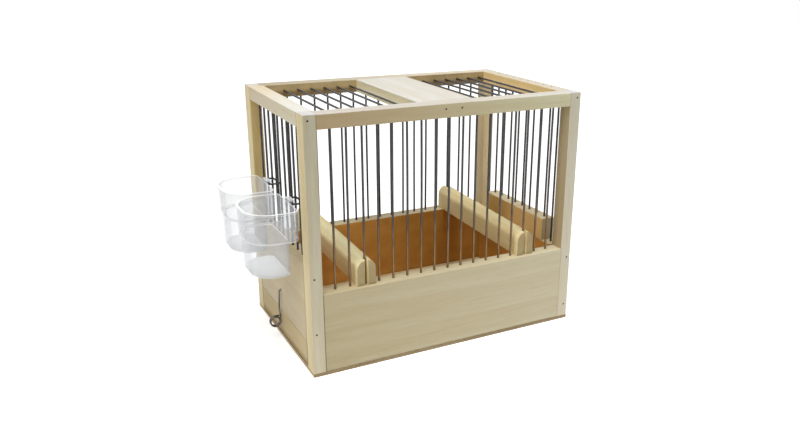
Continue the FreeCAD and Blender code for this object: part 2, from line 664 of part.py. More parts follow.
os.makedirs("parts", exist_ok=True)
for item in nodes:
    item.Shape.exportStep("parts/%s.step" % item.Label)
    size = item.Shape.BoundBox
    print("%-18s %d solids, %.1f x %.1f x %.1f mm, %.0f mm3" % (
        item.Label, len(item.Shape.Solids), size.XLength, size.YLength, size.ZLength, item.Shape.Volume))
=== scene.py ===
# %% [markdown]
# # A songbird cage: the looks around a CAD frame
# The cage is a nailed frame of pale wood with steel bars, brown inner walls, two perches, a lifting door,
# a pull-out tray with a spring-wire catch, and two clear cups hung on the left wall.
# The wooden sticks are good enough as they come from the CAD model and only need a finish. The thin round
# pieces and the moulded cups come as flat triangles, so they are made again here as smooth surfaces.
# All lengths are in metres, and MM turns a size in millimetres into one.

import math

import bpy
import numpy as np
from mathutils import Matrix, Vector


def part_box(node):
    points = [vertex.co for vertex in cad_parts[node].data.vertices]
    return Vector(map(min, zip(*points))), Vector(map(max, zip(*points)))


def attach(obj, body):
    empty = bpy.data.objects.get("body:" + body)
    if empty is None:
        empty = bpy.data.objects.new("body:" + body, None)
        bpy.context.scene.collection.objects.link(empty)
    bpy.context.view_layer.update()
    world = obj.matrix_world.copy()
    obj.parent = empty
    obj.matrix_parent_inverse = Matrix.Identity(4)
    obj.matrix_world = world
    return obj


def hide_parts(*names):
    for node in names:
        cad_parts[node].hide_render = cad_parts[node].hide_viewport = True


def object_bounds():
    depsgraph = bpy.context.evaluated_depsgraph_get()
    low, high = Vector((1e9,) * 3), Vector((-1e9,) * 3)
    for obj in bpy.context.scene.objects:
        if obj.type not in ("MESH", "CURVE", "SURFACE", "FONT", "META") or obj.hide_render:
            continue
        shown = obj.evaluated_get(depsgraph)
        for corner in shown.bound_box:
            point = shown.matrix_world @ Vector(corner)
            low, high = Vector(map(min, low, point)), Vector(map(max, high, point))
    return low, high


MM = 0.001
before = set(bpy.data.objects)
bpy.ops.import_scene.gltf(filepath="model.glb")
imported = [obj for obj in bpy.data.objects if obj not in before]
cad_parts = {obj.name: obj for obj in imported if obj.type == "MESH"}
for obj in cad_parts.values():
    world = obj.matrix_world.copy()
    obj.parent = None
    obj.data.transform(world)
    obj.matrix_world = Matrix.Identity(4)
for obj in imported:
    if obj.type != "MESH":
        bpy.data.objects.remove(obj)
cad_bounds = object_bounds()
print("CAD nodes:", len(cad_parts), "box:", cad_bounds)

# %% [markdown]
# ## Camera
# A camera is a place, a turn and a lens. The turn is built from three unit vectors: back (away from what it
# looks at), right and up. Roll tips right and up about the view line. The lens in millimetres is the focal
# length in pixels, carried over from the 800 pixel wide picture to Blender's 36 mm sensor. The picture was
# cropped off centre, so the lens is shifted a little.

# %% Camera
PICTURE_WIDTH = 800
PICTURE_HEIGHT = 440
CAMERA_PLACE = Vector((-291.3, -596.3, 313.0))*MM
CAMERA_AZIMUTH = math.radians(-28.985)
CAMERA_ELEVATION = math.radians(19.339)
CAMERA_ROLL = math.radians(0.925)
FOCAL_PIXELS = 790.6
PICTURE_CENTRE = (449.5, 229.3)
SENSOR_WIDTH = 36.0
NEAREST_SEEN = 0.01


def camera_turn(azimuth, elevation, roll):
    """The camera's axes as matrix columns: right and up turned by roll about back, then back."""
    back = Vector((math.sin(azimuth)*math.cos(elevation), -math.cos(azimuth)*math.cos(elevation),
                   math.sin(elevation)))
    right = Vector((math.cos(azimuth), math.sin(azimuth), 0))
    up = back.cross(right)
    rolled_right = right*math.cos(roll) + up*math.sin(roll)
    rolled_up = up*math.cos(roll) - right*math.sin(roll)
    return Matrix((rolled_right, rolled_up, back)).transposed()


lens = bpy.data.cameras.new("photo_camera")
lens.sensor_width = SENSOR_WIDTH
lens.lens = FOCAL_PIXELS/PICTURE_WIDTH*SENSOR_WIDTH
lens.shift_x = (PICTURE_WIDTH/2 - PICTURE_CENTRE[0])/PICTURE_WIDTH
lens.shift_y = (PICTURE_CENTRE[1] - PICTURE_HEIGHT/2)/PICTURE_WIDTH
lens.clip_start = NEAREST_SEEN
camera = bpy.data.objects.new("photo_camera", lens)
camera.matrix_world = (Matrix.Translation(CAMERA_PLACE)
                       @ camera_turn(CAMERA_AZIMUTH, CAMERA_ELEVATION, CAMERA_ROLL).to_4x4())
scene = bpy.context.scene
scene.collection.objects.link(camera)
scene.camera = camera
print("lens %.2f mm, shift %.4f %.4f" % (lens.lens, lens.shift_x, lens.shift_y))

# %% [markdown]
# ## Shader sums in plain Python
# A material is a graph of nodes. Writing each Math node by hand hides the idea, so one small class wraps a
# socket: a + b or 1 - a adds the Math node and gives its output back. Its add method makes any other node.

# %% Socket class


class Socket:
    """A node output that can be added, subtracted, multiplied and divided, also with plain numbers."""

    def __init__(self, tree, output):
        self.tree = tree
        self.output = output

    def add(self, kind, inputs=(), out=0, **settings):
        """Adds a node of any kind: its settings first, then its sockets' values or links."""
        made = self.tree.nodes.new(kind)
        for key, value in settings.items():
            setattr(made, key, value)
        for key, value in dict(inputs).items():
            if isinstance(value, Socket):
                self.tree.links.new(value.output, made.inputs[key])
            else:
                made.inputs[key].default_value = value
        return Socket(self.tree, made.outputs[out])

    def other(self, out):
        """Another output of the same node."""
        return Socket(self.tree, self.output.node.outputs[out])

    def math(self, operation, *terms):
        """A Math node on sockets and numbers."""
        return self.add("ShaderNodeMath", dict(enumerate(terms)), operation=operation)

    def __add__(self, other):
        return self.math("ADD", self, other)

    def __radd__(self, other):
        return self.math("ADD", other, self)

    def __sub__(self, other):
        return self.math("SUBTRACT", self, other)

    def __rsub__(self, other):
        return self.math("SUBTRACT", other, self)

    def __mul__(self, other):
        return self.math("MULTIPLY", self, other)

    def __rmul__(self, other):
        return self.math("MULTIPLY", other, self)

    def __truediv__(self, other):
        return self.math("DIVIDE", self, other)

    def __abs__(self):
        return self.math("ABSOLUTE", self)

    def most(self, other):
        """The larger of two values."""
        return self.math("MAXIMUM", self, other)

    def rise(self, start, end):
        """0 below start, 1 above end, and a smooth S between them."""
        return self.add("ShaderNodeMapRange", {"Value": self, "From Min": start, "From Max": end},
                        interpolation_type="SMOOTHSTEP")

    def parts(self):
        """The three coordinates of a vector, each as a socket."""
        split = self.add("ShaderNodeSeparateXYZ", {0: self})
        return [split.other(axis) for axis in range(3)]

    def tint(self, low, high):
        """A colour that goes from low to high as this value goes from 0 to 1."""
        return self.add("ShaderNodeMix", {0: self, 6: low, 7: high}, out=2, data_type="RGBA")

    def times(self, colour):
        """This colour multiplied by another."""
        return self.add("ShaderNodeMix", {0: 1.0, 6: self, 7: colour}, out=2, data_type="RGBA",
                        blend_type="MULTIPLY")

    def noise(self, scale, detail=2.0, roughness=0.5, distortion=0.0):
        """Cloud noise, about 0 to 1 with a mean of one half, at this vector."""
        return self.add("ShaderNodeTexNoise", {"Vector": self, "Scale": scale, "Detail": detail,
                                               "Roughness": roughness, "Distortion": distortion})

    def scaled(self, factors, offset):
        """The vector times factors plus offset, axis by axis."""
        return self.add("ShaderNodeVectorMath", {0: self, 1: factors, 2: offset}, operation="MULTIPLY_ADD")


print("sockets add their own Math nodes")

# %% [markdown]
# ## Starting a finish
# Every finish here starts the same way: a Principled shader, whose fixed values are set at once, and the
# place and direction of each point of the piece, from which its patterns follow. Colours are easiest to judge
# as on a screen, but a shader sums light, so they are first made linear.

# %% Material helpers


def rgb(red, green, blue):
    """A colour given as on a screen, 0 to 255, as the linear colour that a shader needs."""
    share = np.array([red, green, blue])/255
    linear = np.where(share <= 0.04045, share/12.92, ((share + 0.055)/1.055)**2.4)
    return (*linear.tolist(), 1.0)


def new_material(name, **constants):
    """A material, its shader, and sockets for the place and the normal of a point on the piece."""
    material = bpy.data.materials.new(name)
    material.use_nodes = True
    tree = material.node_tree
    shader = tree.nodes["Principled BSDF"]
    for key, value in constants.items():
        shader.inputs[key.replace("_", " ")].default_value = value
    place = Socket(tree, shader.outputs[0]).add("ShaderNodeTexCoord", out="Object")
    return material, shader, place, place.other("Normal")


def feed(shader, **sockets):
    """Links each socket to the shader's input of that name."""
    for key, socket in sockets.items():
        socket.tree.links.new(socket.output, shader.inputs[key.replace("_", " ")])


def dress(item, finish):
    """Gives a piece one finish in place of any that it had."""
    item.data.materials.clear()
    item.data.materials.append(finish)


print("a mid grey of 188 on screen is", round(rgb(188, 188, 188)[0], 3), "in the shader")

# %% [markdown]
# ## Studio
# The cage stands on a white table in soft light from above and from the left, so the top is the brightest
# side and the left wall is a little brighter than the front. The lamps are large, which makes shadows soft.
# The white behind it is a background of strength 1 for what the camera sees, directly, in gloss or through
# the cups, while the light that it casts is kept lower. The table adds some white of its own to the camera's
# view, and more of it farther away, so that it runs into the background without an edge and still shows the
# shadow of the cage.

# %% White room
BLACK = (0, 0, 0, 1)
WHITE = (1, 1, 1, 1)
SKY_LIGHT = 0.10


def seen_directly(anchor):
    """1 for rays from the camera, in a reflection or through clear plastic; 0 for light that falls on
    things."""
    from_camera = anchor.add("ShaderNodeLightPath", out="Is Camera Ray")
    return from_camera.most(from_camera.other("Is Glossy Ray")).most(from_camera.other("Is Transmission Ray"))


world = bpy.data.worlds.new("white_room")
world.use_nodes = True
sky = world.node_tree.nodes["Background"]
sky.inputs["Color"].default_value = WHITE
sky_anchor = Socket(world.node_tree, sky.outputs[0])
sky_strength = seen_directly(sky_anchor)*(1 - SKY_LIGHT) + SKY_LIGHT
world.node_tree.links.new(sky_strength.output, sky.inputs["Strength"])
scene.world = world
scene.view_settings.view_transform = "Standard"
print("the white room lights things at", SKY_LIGHT)

# %% White table
FLOOR_SIZE = 6.0
TABLE_GREYS = (0.84, 0.84, 0.84, 1), (0.88, 0.88, 0.88, 1)
TABLE_ROUGHNESS = 0.9
HAZE_SCALE = 3.0
TABLE_GLOW = 0.50
GLOW_START = 0.5
GLOW_END = 1.6

floor_mesh = bpy.data.meshes.new("table_top")
half_floor = FLOOR_SIZE/2
floor_mesh.from_pydata([(-half_floor, -half_floor, 0), (half_floor, -half_floor, 0),
                        (half_floor, half_floor, 0), (-half_floor, half_floor, 0)], [], [(0, 1, 2, 3)])
floor = bpy.data.objects.new("table_top", floor_mesh)
scene.collection.objects.link(floor)

table, table_shader, table_place, _ = new_material("white_table", Roughness=TABLE_ROUGHNESS,
                                                   Emission_Strength=1.0)
feed(table_shader, Base_Color=table_place.noise(HAZE_SCALE).tint(*TABLE_GREYS))
distance = table_place.add("ShaderNodeVectorMath", {0: table_place}, out="Value", operation="LENGTH")
glow = seen_directly(table_place)*(distance.rise(GLOW_START, GLOW_END)*(1 - TABLE_GLOW) + TABLE_GLOW)
feed(table_shader, Emission_Color=glow.tint(BLACK, WHITE))
dress(floor, table)
print("the table is", FLOOR_SIZE, "m wide")

# %% Soft lamps
LAMPS = [
    # name, place, size, power in watts
    ("top_softbox", (-0.1, -0.35, 1.75), 1.4, 31),
    ("left_softbox", (-1.19, -0.63, 1.29), 1.2, 10.5),
]
AIM = Vector((0, 0, 0.1))

for name, place, size, power in LAMPS:
    lamp = bpy.data.lights.new(name, "AREA")
    lamp.shape = "DISK"
    lamp.size = size
    lamp.energy = power
    holder = bpy.data.objects.new(name, lamp)
    holder.location = place
    holder.rotation_euler = (AIM - holder.location).to_track_quat("-Z", "Y").to_euler()
    scene.collection.objects.link(holder)
print("lamps:", [name for name, *_ in LAMPS])

# %% [markdown]
# ## Pale wood
# The sticks are sawn and planed from a pale, even wood. Its figure runs along the stick: broad soft bands,
# fine fibres and short pores. All three are the same cloud noise, squeezed along the grain, so each stick
# only has to say which way its grain runs and which tone it has at either end. A picture of wood would need
# a layout on every stick; noise of the place runs through the solid and also gives the sawn ends.

# %% Wood figure
PALE = rgb(255, 255, 252)
TAN = rgb(244, 238, 226)
FIBRE = rgb(226, 212, 186)
END_GRAIN = rgb(160, 141, 100)
AXES = "xyz"
GRAIN_SQUEEZE = 0.05
BAND_SCALE = 70
BAND_FADE = 0.30, 0.72
FIBRE_SCALE = 900
FIBRE_FADE = 0.42, 0.78
FIBRE_SHARE = 0.38
PORE_SCALE = 2600
PORE_FADE = 0.62, 0.74
PORE_SHARE = 0.2


def wood_noises(place, name, along):
    """Bands, fibres and pores: three cloud noises of the place, squeezed on the grain axis and shifted by an
    amount that differs from stick to stick."""
    squeeze = [1.0, 1.0, 1.0]
    squeeze[along] = GRAIN_SQUEEZE
    shift = [0.37*len(name) + 0.11*axis*ord(name[0]) for axis in range(3)]
    lay = place.scaled(squeeze, shift)
    bands = lay.noise(BAND_SCALE, detail=3, distortion=0.8).rise(*BAND_FADE)
    fibres = lay.noise(FIBRE_SCALE, detail=4, roughness=0.65)
    pores = lay.noise(PORE_SCALE, detail=2).rise(*PORE_FADE)
    return bands, fibres, pores


def wood_figure(bands, fibres, pores):
    """The figure as a near-white tint: pale to tan with the bands, then some fibres, then some pores."""
    figure = bands.tint(PALE, TAN)
    figure = (fibres.rise(*FIBRE_FADE)*FIBRE_SHARE).tint(figure, FIBRE)
    return (pores*PORE_SHARE).tint(figure, END_GRAIN)


print("fibres are about %.1f mm wide and %.0f mm long" % (1/FIBRE_SCALE/MM, 1/FIBRE_SCALE/GRAIN_SQUEEZE/MM))

# %% [markdown]
# ## Reading a stick
# Everything that is laid over a stick's own tone, the marks of age and use and the painted light and shade,
# depends on where a point is: how far along the grain, how high over the lower edge, on a sawn end or not, on
# the roof or not. These are read once for each stick and kept together, so that every later step is a short
# function of the stick and of its colour so far.

# %% A stick's sockets
ROOF = cad_bounds[1][2]
ROOF_FADE = ROOF - 0.6*MM, ROOF - 0.2*MM
END_FADE = 0.75, 0.95


class Stick:
    """What a stick's layers need: its place and normal by axis, distances, masks from 0 to 1, and figure."""

    def __init__(self, name, grain, place, normal):
        self.name = name
        self.place = place
        self.spots = place.parts()
        self.facing = normal.parts()
        along = AXES.index(grain)
        low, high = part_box(name)
        self.from_low = self.spots[along] - low[along]
        self.from_high = high[along] - self.spots[along]
        self.share = self.from_low/(high[along] - low[along])
        self.above_edge = self.spots[2] - low[2]
        self.roof = self.spots[2].rise(*ROOF_FADE)
        self.ends = abs(self.facing[along]).rise(*END_FADE)
        self.bands, self.fibres, self.pores = wood_noises(place, name, along)
        self.figure = wood_figure(self.bands, self.fibres, self.pores)


print("the roof starts at %.1f mm" % (ROOF_FADE[0]/MM))

# %% [markdown]
# ## Painted top light and sawn ends
# The top faces go over to a more neutral grey, a painted look of the strong light that falls on them from
# above. The left rail is painted almost white at its front end, where the light from the left falls too, and
# the rear rail has no painted top light. Sawn ends drink in dirt and are darker, except on the roof. Both are
# masks from the stick's sockets, and one colour is laid over the other.

# %% Painted top light and sawn ends
# painted light: neutral greys for the top faces, where the strong light from above falls
TOP_LIT_GREY = rgb(201, 201, 203)
LEFT_LIT_WHITE = rgb(217, 220, 223)
TOP_LIT_USUAL = TOP_LIT_GREY, 0.85, 0.85
TOP_LIT_SHARES = {
    # node: colour, its share at the low end and at the high end
    "front_top_rail": (TOP_LIT_GREY, 0.7, 0.7),
    "rear_top_rail": (TOP_LIT_GREY, 0.0, 0.0),
    # painted light: the front end of the left rail is painted near white for the light from the left
    "left_top_rail": (LEFT_LIT_WHITE, 1.0, 0.0),
    "right_top_rail": (TOP_LIT_GREY, 0.4, 0.4),
}
END_SHARE = 0.75


def top_light(stick, colour):
    """The roof goes over to a painted top-light colour, by a share that runs evenly from the low end to the
    high.
    """
    lit_colour, at_low, at_high = TOP_LIT_SHARES.get(stick.name, TOP_LIT_USUAL)
    amount = stick.share*(at_high - at_low) + at_low
    return (stick.roof*amount).tint(colour, stick.figure.times(lit_colour))


def saw_ends(stick, colour):
    """End faces below the roof go over to the colour of end grain."""
    return (stick.ends*(1 - stick.roof)*END_SHARE).tint(colour, stick.figure.times(END_GRAIN))


print("sticks with a bleach of their own:", list(TOP_LIT_SHARES))

# %% [markdown]
# ## Joint lines and painted shade
# Where a panel meets a post there is a thin dark line, ragged because the gap is nowhere the same. On the
# left wall and the tray front the line is wider, a painted shadow of a recess, strongest at the rear post.
# The tray front is painted darker along its lower edge, a painted shade and a painted brown reflection from
# the gap over the floor sheet. A cut would be too fine to see, so both are only colours by distance from an
# end or an edge.

# %% Joint lines and painted shade at the tray's foot
JOINT_LINE = rgb(92, 74, 50)
JOINT_START = 0.1*MM
JOINT_USUAL = 0.75*MM
# painted shadow: on these two pieces the joint lines are widened into the shadow of a recess
WIDE_JOINT_SHADOW = {"left_panel": 2.2*MM, "tray_front": 2.2*MM}
RAGGED_SCALE = 420
RAGGED_WIDTH = 0.5*MM
# painted shade and painted reflection: the brown of the gap between the tray front and the floor sheet
TRAY_FOOT_SHADE = rgb(148, 116, 44)
TRAY_FOOT_FADE = 1*MM, 7*MM
TRAY_FOOT_SHADED = {"tray_front": 0.75}


def draw_joints(stick, colour, at_low, at_high):
    """Dark lines at the two ends: one minus a smooth rise of the distance from the end plus a noise. Where
    they are widened, they are a painted shadow of a recess.
    """
    ragged = (stick.place.noise(RAGGED_SCALE, detail=3) - 0.5)*RAGGED_WIDTH
    width = WIDE_JOINT_SHADOW.get(stick.name, JOINT_USUAL)
    low_line = 1 - (stick.from_low + ragged).rise(JOINT_START, width)
    high_line = 1 - (stick.from_high + ragged).rise(JOINT_START, width)
    lines = (low_line*at_low).most(high_line*at_high)
    return (lines*(1 - stick.ends)).tint(colour, JOINT_LINE)


def shade_tray_foot(stick, colour):
    """A painted shade and brown reflection that is strongest at the lower edge and fades out above it."""
    return ((1 - stick.above_edge.rise(*TRAY_FOOT_FADE))*TRAY_FOOT_SHADED[stick.name]).tint(colour, TRAY_FOOT_SHADE)


print("joint lines are %.2f mm wide, and wider on" % (JOINT_USUAL/MM), list(WIDE_JOINT_SHADOW))

# %% [markdown]
# ## Stained faces, painted shade and painted bounce light
# The inner faces of the walls carry a brown stain, painted lighter for the little light that reaches inside
# the cage, and painted darker towards their far ends, a painted shade. Those of three top rails have a darker
# stain with a painted shade along their lower edge, and those of the door rail and the rail over it are
# painted orange, a painted warm reflection of the brown floor on pale wood in shade. The face is picked out
# by its normal, so one stick can be pale outside and brown inside, as it was before it was nailed together.

# %% Stain, painted shade and painted bounce light
FACE_FADE = 0.6, 0.9
SMUDGE_SCALE = 55
SMUDGE_FADE = 0.35, 0.7
BAND_STAIN = 0.3
FIBRE_STAIN = 0.3
SMUDGE_STAIN = 0.4
FAR_SHADE_FADE = 0.4, 0.75
FOOT_SHADE_FADE = 3*MM, 7*MM


def stain_and_shade_face(stick, colour, face, light, dark, far_shade, foot_shade):
    """The face with an outward axis such as -y goes over to a stain: light to dark with a sum of bands,
    fibres and smudges, multiplied by a painted shade towards the far end and by another painted shade at the
    lower edge. On the door rail and the rail above it the stain colours are a painted orange bounce light."""
    sign = -1.0 if face[0] == "-" else 1.0
    inner = (stick.facing[AXES.index(face[-1])]*sign).rise(*FACE_FADE)
    smudges = stick.place.noise(SMUDGE_SCALE, detail=3).rise(*SMUDGE_FADE)
    depth = stick.bands*BAND_STAIN + stick.fibres*FIBRE_STAIN + smudges*SMUDGE_STAIN
    # painted shade: the stain darkens towards the far end of the face
    stained = depth.tint(light, dark).times(stick.share.rise(*FAR_SHADE_FADE).tint(PALE, far_shade))
    # painted shade: darker along the lower edge of the face
    stained = stained.times(stick.above_edge.rise(*FOOT_SHADE_FADE).tint(foot_shade, PALE))
    return inner.tint(colour, stained)


print("smudges in the stain are about %.0f mm wide" % (1/SMUDGE_SCALE/MM))

# %% [markdown]
# ## The whole wood finish
# The finish is now a stack: the stick's own tone, the tone of its sides, painted for the light that falls on
# them, then one layer after the other.
# Gloss and relief follow the fibres, because a planed face is rougher where they stand up.

# %% Wood finish
PLAIN_GLOSS = 1.45
RELIEF_STRENGTH = 0.12
RELIEF_DEPTH = 0.2*MM
PORE_RELIEF = 0.4
WOOD_ROUGHNESS = 0.52
FIBRE_ROUGHNESS = 0.2


def wood(name, grain, near, far, joints=(0.15, 0.15), lit_side_tone=None, stain=None):
    """Wood whose tone goes from near to far along its grain axis, multiplied by its figure. joints says how
    dark the lines at its low and high ends are. The side tone, where given, is the tone of the left and right
    faces, painted for the light that falls on them. The stain argument holds the stain and painted shade of
    an inner face, if it has them."""
    material, shader, place, normal = new_material("wood_" + name, IOR=PLAIN_GLOSS)
    stick = Stick(name, grain, place, normal)
    colour = stick.figure.times(stick.share.tint(rgb(*near), rgb(*far)))
    # painted light: the left and right faces get a tone of their own for the light that falls on them
    if lit_side_tone:
        sides = abs(stick.facing[0]).rise(*FACE_FADE)
        colour = sides.tint(colour, stick.figure.times(rgb(*lit_side_tone)))
    colour = saw_ends(stick, top_light(stick, colour))
    colour = draw_joints(stick, colour, *joints)
    # painted shade and painted reflection along the tray front's lower edge
    if name in TRAY_FOOT_SHADED:
        colour = shade_tray_foot(stick, colour)
    if stain:
        colour = stain_and_shade_face(stick, colour, *stain)
    relief = place.add("ShaderNodeBump", {"Strength": RELIEF_STRENGTH, "Distance": RELIEF_DEPTH,
                                          "Height": stick.fibres - stick.pores*PORE_RELIEF})
    feed(shader, Base_Color=colour, Roughness=stick.fibres*FIBRE_ROUGHNESS + WOOD_ROUGHNESS, Normal=relief)
    return material


print("planed wood has a roughness of about", WOOD_ROUGHNESS + FIBRE_ROUGHNESS/2)

# %% [markdown]
# ## Tones of the sticks
# The sticks were cut from different boards, so each has its own tone, and most are paler towards one end. The
# rear posts and the door rail, inside the cage, are also painted paler, for the light that reaches them
# there. They are listed in a table with the grain and the joint lines, so that a stick can be changed without
# touching the others. The posts' left and right sides have tones of their own, painted lighter or darker for
# the light that falls on each side.

# %% Wooden sticks
# painted shade towards the far end of an inner face
FAR_END_SHADE = rgb(208, 200, 172)
# painted shade along the lower edge of the top rails' inner faces
LOWER_EDGE_SHADE = rgb(178, 168, 150)
# a stain is its light and dark colours, and its painted shades at the far end and at the lower edge
STAIN_AND_SHADE = rgb(242, 184, 96), rgb(216, 153, 71), FAR_END_SHADE, PALE
# a darker brown stain, with a painted shade along the lower edge
RAIL_STAIN_AND_SHADE = rgb(196, 172, 126), rgb(146, 124, 88), PALE, LOWER_EDGE_SHADE
# painted bounce light: pale wood in shade with a warm orange cast from the brown floor; on the door rail also
# a painted shade at the far end
DOOR_RAIL_BOUNCE_AND_SHADE = rgb(255, 222, 158), rgb(250, 206, 134), FAR_END_SHADE, PALE
TOP_RAIL_BOUNCE = rgb(252, 220, 158), rgb(243, 209, 147), PALE, PALE
WOODS = [
    # node, grain, tone at its low end, tone at its high end, joint lines at its low and high ends
    ("front_left_post", "z", (214, 206, 182), (186, 181, 159), (0, 0)),
    ("front_right_post", "z", (228, 222, 202), (206, 201, 183), (0, 0)),
    # painted light: the rear posts and the door rail inside the cage are painted paler for the light that
    # reaches them there
    ("rear_left_post", "z", (212, 190, 136), (216, 192, 134), (0, 0)),
    ("rear_right_post", "z", (252, 231, 184), (254, 235, 190), (0, 0)),
    ("front_panel", "x", (194, 183, 151), (216, 208, 181), (0.75, 0.15)),
    ("rear_panel", "x", (206, 192, 160), (210, 196, 164), (0.75, 0.75)),
    ("left_panel", "y", (206, 191, 158), (202, 188, 157), (0.3, 0.9)),
    ("right_panel", "y", (208, 196, 166), (204, 190, 158), (0.4, 0.4)),
    ("front_top_rail", "x", (176, 155, 120), (212, 209, 177), (0.2, 0.2)),
    ("rear_top_rail", "x", (164, 155, 134), (212, 204, 188), (0.2, 0.2)),
    ("left_top_rail", "y", (222, 217, 194), (211, 196, 171), (0.2, 0.2)),
    ("right_top_rail", "y", (203, 190, 163), (201, 187, 157), (0.2, 0.2)),
    ("roof_board", "y", (240, 229, 192), (236, 226, 190), (0.1, 0.1)),
    ("door_rail", "y", (222, 208, 176), (220, 206, 174), (0.1, 0.1)),
    ("tray_front", "y", (213, 194, 154), (200, 182, 136), (0.3, 0.9)),
    ("tray_front_side", "x", (206, 190, 152), (208, 194, 158), (0.1, 0.1)),
    ("tray_rear_side", "x", (208, 192, 156), (204, 188, 150), (0.1, 0.1)),
    ("tray_back", "y", (206, 190, 152), (204, 190, 154), (0.1, 0.1)),
]
# painted light and shade: the side faces of the posts, lighter or darker for the light that falls on each
# side
LIT_SIDE_TONES = {"front_left_post": (224, 209, 167), "rear_left_post": (228, 212, 170),
          "front_right_post": (186, 168, 132), "rear_right_post": (228, 207, 165)}
STAINS_AND_SHADES = {"front_panel": ("y", *STAIN_AND_SHADE), "rear_panel": ("-y", *STAIN_AND_SHADE), "left_panel": ("x", *STAIN_AND_SHADE),
           "right_panel": ("-x", *STAIN_AND_SHADE), "front_top_rail": ("y", *RAIL_STAIN_AND_SHADE), "rear_top_rail": ("-y", *RAIL_STAIN_AND_SHADE),
           "left_top_rail": ("x", *RAIL_STAIN_AND_SHADE), "right_top_rail": ("-x", *TOP_RAIL_BOUNCE), "door_rail": ("-x", *DOOR_RAIL_BOUNCE_AND_SHADE)}
for name, grain, near, far, joints in WOODS:
    dress(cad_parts[name], wood(name, grain, near, far, joints, LIT_SIDE_TONES.get(name), STAINS_AND_SHADES.get(name)))
print("wooden sticks with a finish:", len(WOODS), "of which stained inside:", len(STAINS_AND_SHADES))

# %% [markdown]
# ## Brown hardboard
# The floor sheet and the tray bottom are pressed fibre board: smooth, brown, with fine flecks, and the floor
# sheet is the paler of the two. Two noises are enough, one of flecks and one of slow clouds, because pressed
# fibres have no direction.

# %% Hardboard sheets
FLECK_SCALE = 1500
FLECK_FADE = 0.35, 0.7
FLECK_ROUGHNESS = 0.15
CLOUD_SCALE = 35
CLOUD_FADE = 0.4, 0.7
CLOUD_SHARE = 0.4
SHEET_ROUGHNESS = 0.55
SHEETS = [
    # node, light and dark flecks, clouds, left and right edges, on the floor sheet painted paler for the
    # light from the left
    ("floor_sheet", rgb(168, 149, 113), rgb(145, 124, 88), rgb(134, 109, 71), rgb(188, 164, 122)),
    ("tray_bottom", rgb(176, 138, 84), rgb(146, 108, 60), rgb(128, 92, 50), rgb(146, 108, 60)),
]


def hardboard(name, light, dark, cloud, edge):
    """Pressed board: flecks of noise between a light and a dark brown, with slow clouds of a third. The edges
    to the left and right have a brown of their own; on the floor sheet it is a paler brown, painted light
    from the left."""
    material, shader, place, normal = new_material("hardboard_" + name, IOR=PLAIN_GLOSS)
    flecks = place.noise(FLECK_SCALE, detail=3).rise(*FLECK_FADE)
    clouds = place.noise(CLOUD_SCALE, detail=2).rise(*CLOUD_FADE)
    colour = (clouds*CLOUD_SHARE).tint(flecks.tint(light, dark), cloud)
    # painted light: the side edges take their own brown, paler on the floor sheet for the light from the left
    colour = abs(normal.parts()[0]).rise(*FACE_FADE).tint(colour, edge)
    feed(shader, Base_Color=colour, Roughness=flecks*FLECK_ROUGHNESS + SHEET_ROUGHNESS)
    return material


for name, *browns in SHEETS:
    dress(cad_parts[name], hardboard(name, *browns))
print("hardboard sheets:", len(SHEETS))

# %% [markdown]
# ## Steel wire
# The bars, rods, hangers, nails and the catch are drawn steel wire: dark grey, half bright, with a fine grit
# and a few dull patches. The front bars are painted warm brown low down, a painted reflection of the brown
# wood around their lower part. One function makes all four steels, since they differ only in their greys,
# their gloss and that painted reflection.

# %% Wire finish
WIRE_METAL = 0.75
PATCH_SCALE = 120
PATCH_SHARE = 0.7
PATCH_ROUGHNESS = 0.2
GRIT_SCALE = 2400
SHADE_FADE = 0.3, 0.7
# painted reflection: a warm brown low on the front bars, for the brown wood they mirror
BROWN_REFLECTION = rgb(108, 85, 58), rgb(138, 110, 78)
BROWN_REFLECTION_FADE = 75*MM, 130*MM
BAR_GREYS = rgb(54, 54, 55), rgb(76, 75, 74)
SPRING_GREYS = rgb(66, 61, 58), rgb(122, 116, 110)
NAIL_GREYS = rgb(46, 42, 40), rgb(78, 70, 64)


def steel(name, greys, roughness=0.38, brown_reflection=None):
    """Drawn steel: dull patches and grit between a dark and a brighter grey. A painted brown reflection,
    where given, fades out with height. The roughness swings about its mean with the patches."""
    material, shader, place, _ = new_material("steel_" + name, Metallic=WIRE_METAL)
    patches = place.noise(PATCH_SCALE, detail=3)
    grit = place.noise(GRIT_SCALE)
    shade = (patches*PATCH_SHARE + grit*(1 - PATCH_SHARE)).rise(*SHADE_FADE)
    colour = shade.tint(*greys)
    if brown_reflection:
        # painted reflection: strongest low down, gone higher up
        above_reflection = place.parts()[2].rise(*BROWN_REFLECTION_FADE)
        colour = above_reflection.tint(shade.tint(*brown_reflection), colour)
    feed(shader, Base_Color=colour, Roughness=patches*PATCH_ROUGHNESS + (roughness - PATCH_ROUGHNESS/2))
    return material


bar_steel = steel("bars", BAR_GREYS)
front_steel = steel("front_bars", BAR_GREYS, brown_reflection=BROWN_REFLECTION)
spring_steel = steel("spring", SPRING_GREYS, roughness=0.24)
nail_steel = steel("nails", NAIL_GREYS, roughness=0.5)
print("steels:", [finish.name for finish in (bar_steel, front_steel, spring_steel, nail_steel)])

# %% [markdown]
# ## Surfaces from arrays
# Every new piece is a grid of points: rows run along the piece and columns run round it. The points come from
# one formula on whole arrays, and the faces join each point to its neighbours in the next row and column.
# Rings at the two ends are closed by one flat face each.

# %% Grid helpers


def grid_faces(rows, columns):
    """Quads between neighbouring rows and columns of a grid that closes on itself round its columns."""
    row, column = np.meshgrid(np.arange(rows - 1), np.arange(columns), indexing="ij")
    here = row*columns + column
    beside = row*columns + (column + 1) % columns
    return np.stack([here, beside, beside + columns, here + columns], axis=-1).reshape(-1, 4)


